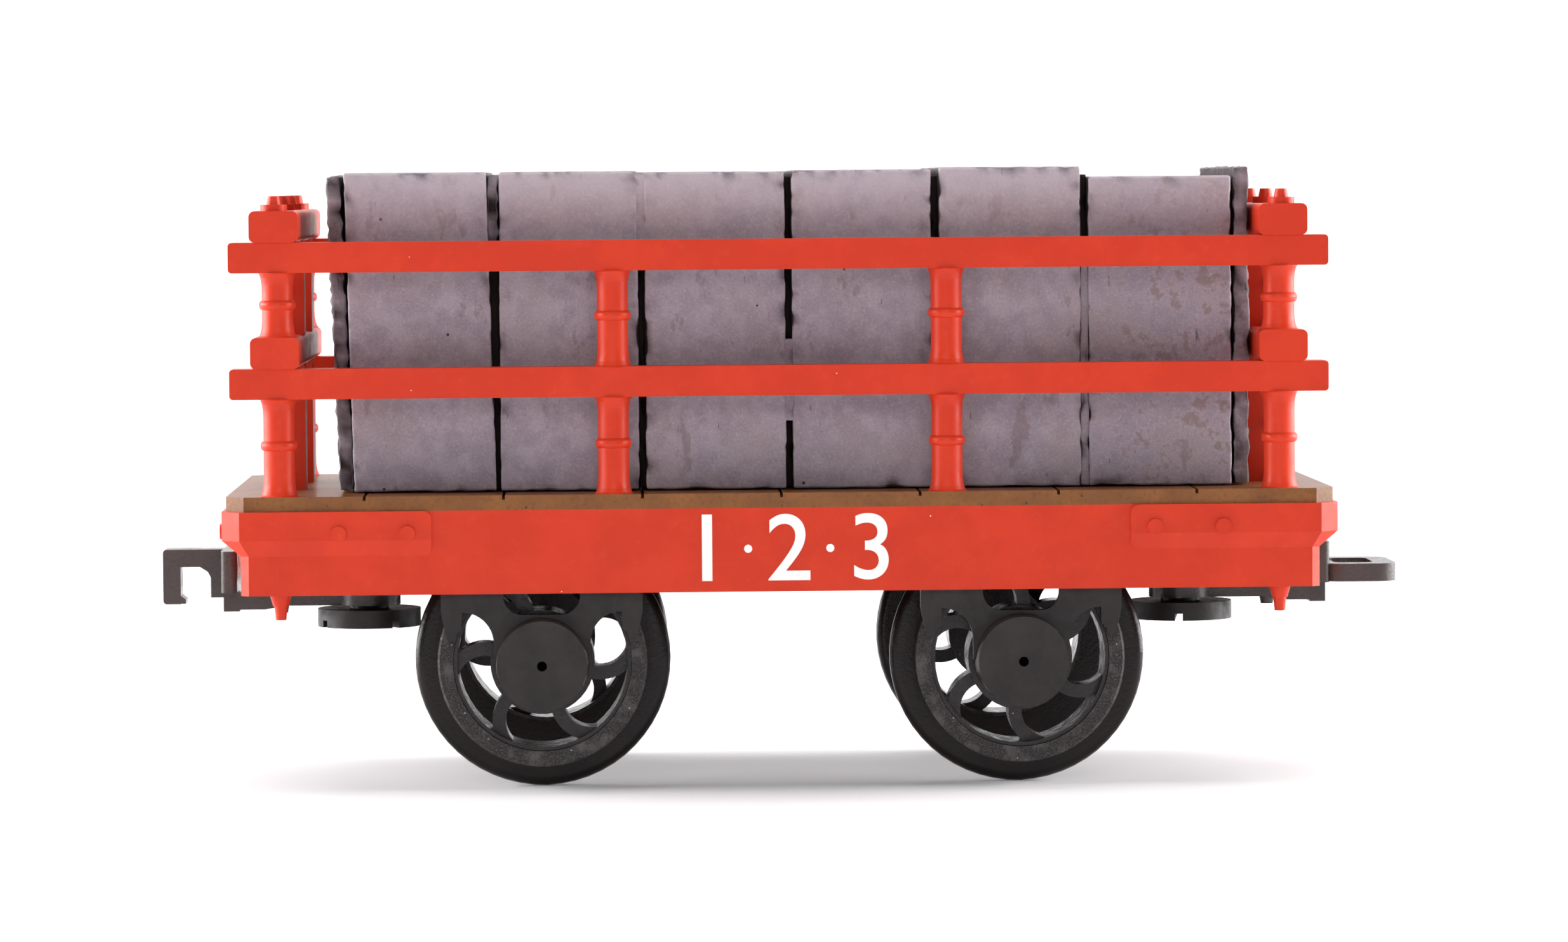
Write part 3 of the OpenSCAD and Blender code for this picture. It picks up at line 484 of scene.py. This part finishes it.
def add_slate_load():
    """Six columns of slates with joints between them painted dark as shade, and a slab on edge at each end.
    """
    stack = StoneStack()
    front, back = LOAD_LOW.y, LOAD_HIGH.y
    floor_z, top = LOAD_LOW.z, LOAD_HIGH.z
    x = LOAD_LOW.x + SLAB_T
    joints = []
    for index, (width, drop, joint) in enumerate(COLUMNS):
        end = x + width * MM
        stack.block((x, front, floor_z), (end, back, top - drop * MM), lean=0 if index else FIRST_LEAN,
                    seed=7 * index)
        joints.append((end, end + joint * MM))
        x = end + joint * MM

    def fill(index, z0, z1, depth, dirt_and_shade, lap=0.08, rough=0.0):
        """Stone in a joint: z0 to z1 over the deck, depth behind the faces, lap into the columns, in mm."""
        x0, x1 = joints[index]
        stack.block((x0 - lap * MM, front + depth * MM, floor_z + z0 * MM),
                    (x1 + lap * MM, back - depth * MM, floor_z + z1 * MM),
                    dirt_and_shade=dirt_and_shade, joint_side_shade=dirt_and_shade, rough=rough, seed=3 * index)

    # Most joints are deep, and their stone is painted near black as shade. The first holds a rough stone in
    # its upper course, the second is closed there, the third is bridged lower down, and the fifth is a
    # shallow groove under its upper course. Stone set into a joint is painted darker as shade of its recess.
    course = 6.2
    whole = (top - floor_z) / MM - 0.22
    deep = 0.7
    fill(0, 0, course + 0.1, deep, 1)
    fill(0, course, whole + 0.1, 0.2, 0.6, rough=1)
    fill(1, 0, course, deep, 1)
    fill(1, course, whole + 0.14, 0.01, 0.05, lap=0.25)
    fill(2, 0, 1.9, deep, 1)
    fill(2, 1.85, 4.15, 0.02, 0.1, lap=0.14)
    fill(2, 4.1, whole, deep, 1)
    fill(3, 0, whole, deep, 1)
    fill(4, 0, course, 0.04, 0.2)
    fill(4, course, whole, deep, 1)

    # The end slabs are painted darker, partly as shade of their set-back faces and partly as grime.
    slab_front, slab_back = front + SLAB_SET_BACK, back - SLAB_SET_BACK
    stack.block((LOAD_LOW.x - SLAB_OVERHANG, slab_front, floor_z),
                (LOAD_LOW.x + SLAB_T, slab_back, top - 0.12 * MM),
                dirt_and_shade=0.65, rough=0.8, lean=0.3 * MM, seed=31)
    stack.block((joints[-1][0], slab_front, floor_z),
                (LOAD_HIGH.x + SLAB_OVERHANG, slab_back, top - 0.04 * MM),
                dirt_and_shade=0.4, rough=0.7, seed=47)
    load = stack.finish("slate_stack")
    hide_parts("slate_load")
    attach(load, "load")


add_slate_load()

# ---------------------------------------------------------------- camera, light and floor


def add_camera():
    """A long lens at the wagon's middle height, looking slightly right and down at its long side."""
    data = bpy.data.cameras.new("camera")
    data.sensor_width = 36
    data.lens = 136.2
    data.clip_start = 0.005
    data.clip_end = 5
    camera = bpy.data.objects.new("camera", data)
    bpy.context.scene.collection.objects.link(camera)
    yaw, pitch, roll = math.radians(1.71), math.radians(2.77), math.radians(0.44)
    camera.location = (-4.70 * MM, -166.35 * MM, 16.43 * MM)
    camera.matrix_world = (Matrix.Translation(camera.location) @ Matrix.Rotation(-yaw, 4, "Z")
                           @ Matrix.Rotation(math.pi / 2 - pitch, 4, "X") @ Matrix.Rotation(-roll, 4, "Z"))
    bpy.context.scene.camera = camera


def add_light(name, place, target, size, power):
    """A white rectangular softbox that faces its target."""
    data = bpy.data.lights.new(name, "AREA")
    data.shape = "RECTANGLE"
    data.size, data.size_y = size
    data.energy = power
    light = bpy.data.objects.new(name, data)
    light.location = place
    light.rotation_euler = (Vector(target) - Vector(place)).to_track_quat("-Z", "Y").to_euler()
    bpy.context.scene.collection.objects.link(light)


def add_stage(radius):
    """A round pale floor, small enough that the lights keep it as bright as the sky behind its rim."""
    floor = bpy.data.objects.new("stage_floor", bpy.data.meshes.new("stage_floor"))
    disc = bmesh.new()
    bmesh.ops.create_circle(disc, cap_ends=True, segments=96, radius=radius)
    disc.to_mesh(floor.data)
    disc.free()
    bpy.context.scene.collection.objects.link(floor)
    floor.data.materials.append(Shading("pale_floor", srgb(246, 245, 247), 0.8).material)


def add_sky(front, back, seen):
    """White light from all round, its strength front before the wagon and back behind it.

    The camera itself sees an even white of strength seen.
    """
    world = bpy.data.worlds.new("studio")
    world.use_nodes = True
    tree = world.node_tree
    direction = tree.nodes.new("ShaderNodeTexCoord").outputs["Generated"]
    split = tree.nodes.new("ShaderNodeSeparateXYZ")
    tree.links.new(direction, split.inputs[0])
    strength = tree.nodes.new("ShaderNodeMapRange")
    strength.interpolation_type = "SMOOTHSTEP"
    for key, value in (("From Min", -0.2), ("From Max", 0.6), ("To Min", front), ("To Max", back)):
        strength.inputs[key].default_value = value
    tree.links.new(split.outputs["Y"], strength.inputs["Value"])
    chosen = tree.nodes.new("ShaderNodeMix")
    tree.links.new(tree.nodes.new("ShaderNodeLightPath").outputs["Is Camera Ray"], chosen.inputs[0])
    tree.links.new(strength.outputs["Result"], chosen.inputs[2])
    chosen.inputs[3].default_value = seen
    background = tree.nodes["Background"]
    background.inputs["Color"].default_value = (1, 1, 1, 1)
    tree.links.new(chosen.outputs[0], background.inputs["Strength"])
    bpy.context.scene.world = world


add_camera()
add_stage(radius=0.17)
add_sky(front=0.1, back=1.4, seen=1.2)
bpy.context.scene.view_settings.view_transform = "Standard"
middle = (cad_low + cad_high) / 2
add_light("top_box", (0, 0.02, 0.22), middle, (0.3, 0.2), 0.34)
add_light("left_box", (-0.2, 0.03, 0.045), middle, (0.2, 0.14), 0.95)
add_light("right_box", (0.2, 0.03, 0.045), middle, (0.2, 0.14), 0.95)
add_light("front_box", (-0.02, -0.25, 0.1), middle, (0.2, 0.1), 0.18)
